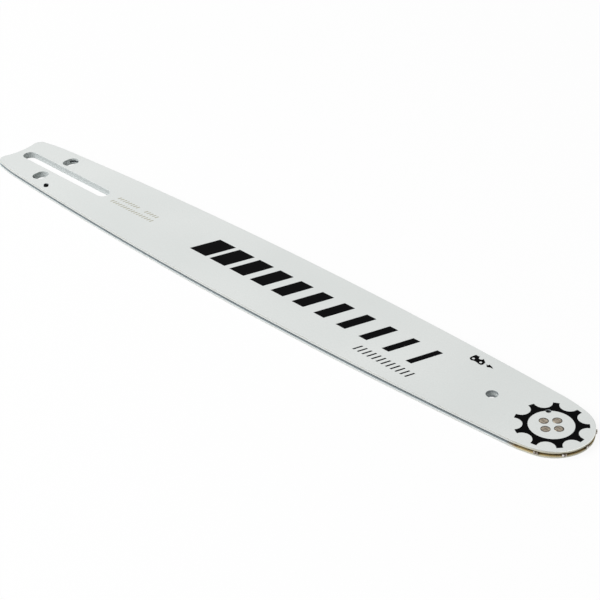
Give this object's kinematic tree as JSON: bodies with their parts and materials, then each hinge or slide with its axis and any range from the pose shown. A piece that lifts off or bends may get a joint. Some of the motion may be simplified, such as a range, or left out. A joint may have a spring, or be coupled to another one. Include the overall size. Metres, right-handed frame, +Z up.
{
  "type": "chainsaw guide bar",
  "caption": "Flat laminated chainsaw guide bar with a chain groove along both edges, a clamping slot at the tail and a nose sprocket that spins on a roller bearing.",
  "frame": {"origin": "on the surface that the bar lies on, under the middle of its box", "axes": "+X along the bar from the tail to the nose, +Y across it, +Z up through its thickness, towards the printed face"},
  "size_m": [0.4506, 0.0578, 0.0041],
  "materials": {
    "plate_paint": "satin light grey paint on the faces, ground bare steel on the rails",
    "core_steel": "plain rolled steel",
    "sprocket_steel": "hardened steel with a film of grease, bright at the tooth tips",
    "bearing_steel": "ground bearing steel",
    "rivet_steel": "peened steel, browned"
  },
  "bodies": {
    "bar": {"side_plate_upper": "plate_paint", "side_plate_lower": "plate_paint", "core_plate": "core_steel", "bearing_race": "bearing_steel", "nose_rivets": "rivet_steel"},
    "sprocket": {"nose_sprocket": "sprocket_steel"},
    "roller_ring": {"bearing_roller_01": "bearing_steel", "bearing_roller_02": "bearing_steel", "bearing_roller_03": "bearing_steel", "bearing_roller_04": "bearing_steel", "bearing_roller_05": "bearing_steel", "bearing_roller_06": "bearing_steel", "bearing_roller_07": "bearing_steel", "bearing_roller_08": "bearing_steel", "bearing_roller_09": "bearing_steel", "bearing_roller_10": "bearing_steel", "bearing_roller_11": "bearing_steel", "bearing_roller_12": "bearing_steel", "bearing_roller_13": "bearing_steel", "bearing_roller_14": "bearing_steel", "bearing_roller_15": "bearing_steel", "bearing_roller_16": "bearing_steel", "bearing_roller_17": "bearing_steel", "bearing_roller_18": "bearing_steel", "bearing_roller_19": "bearing_steel", "bearing_roller_20": "bearing_steel", "bearing_roller_21": "bearing_steel", "bearing_roller_22": "bearing_steel"}
  },
  "joints": [
    {"name": "sprocket_spin", "type": "hinge", "parent": "bar", "child": "sprocket", "pos_m": [0.203, 0, 0.00205], "axis": [0, 0, 1], "continuous": true},
    {"name": "roller_orbit", "type": "hinge", "parent": "bar", "child": "roller_ring", "pos_m": [0.203, 0, 0.00205], "axis": [0, 0, 1], "continuous": true}
  ],
  "couplings": [
    {"joint": "roller_orbit", "follows": "sprocket_spin", "ratio": 0.5676}
  ]
}
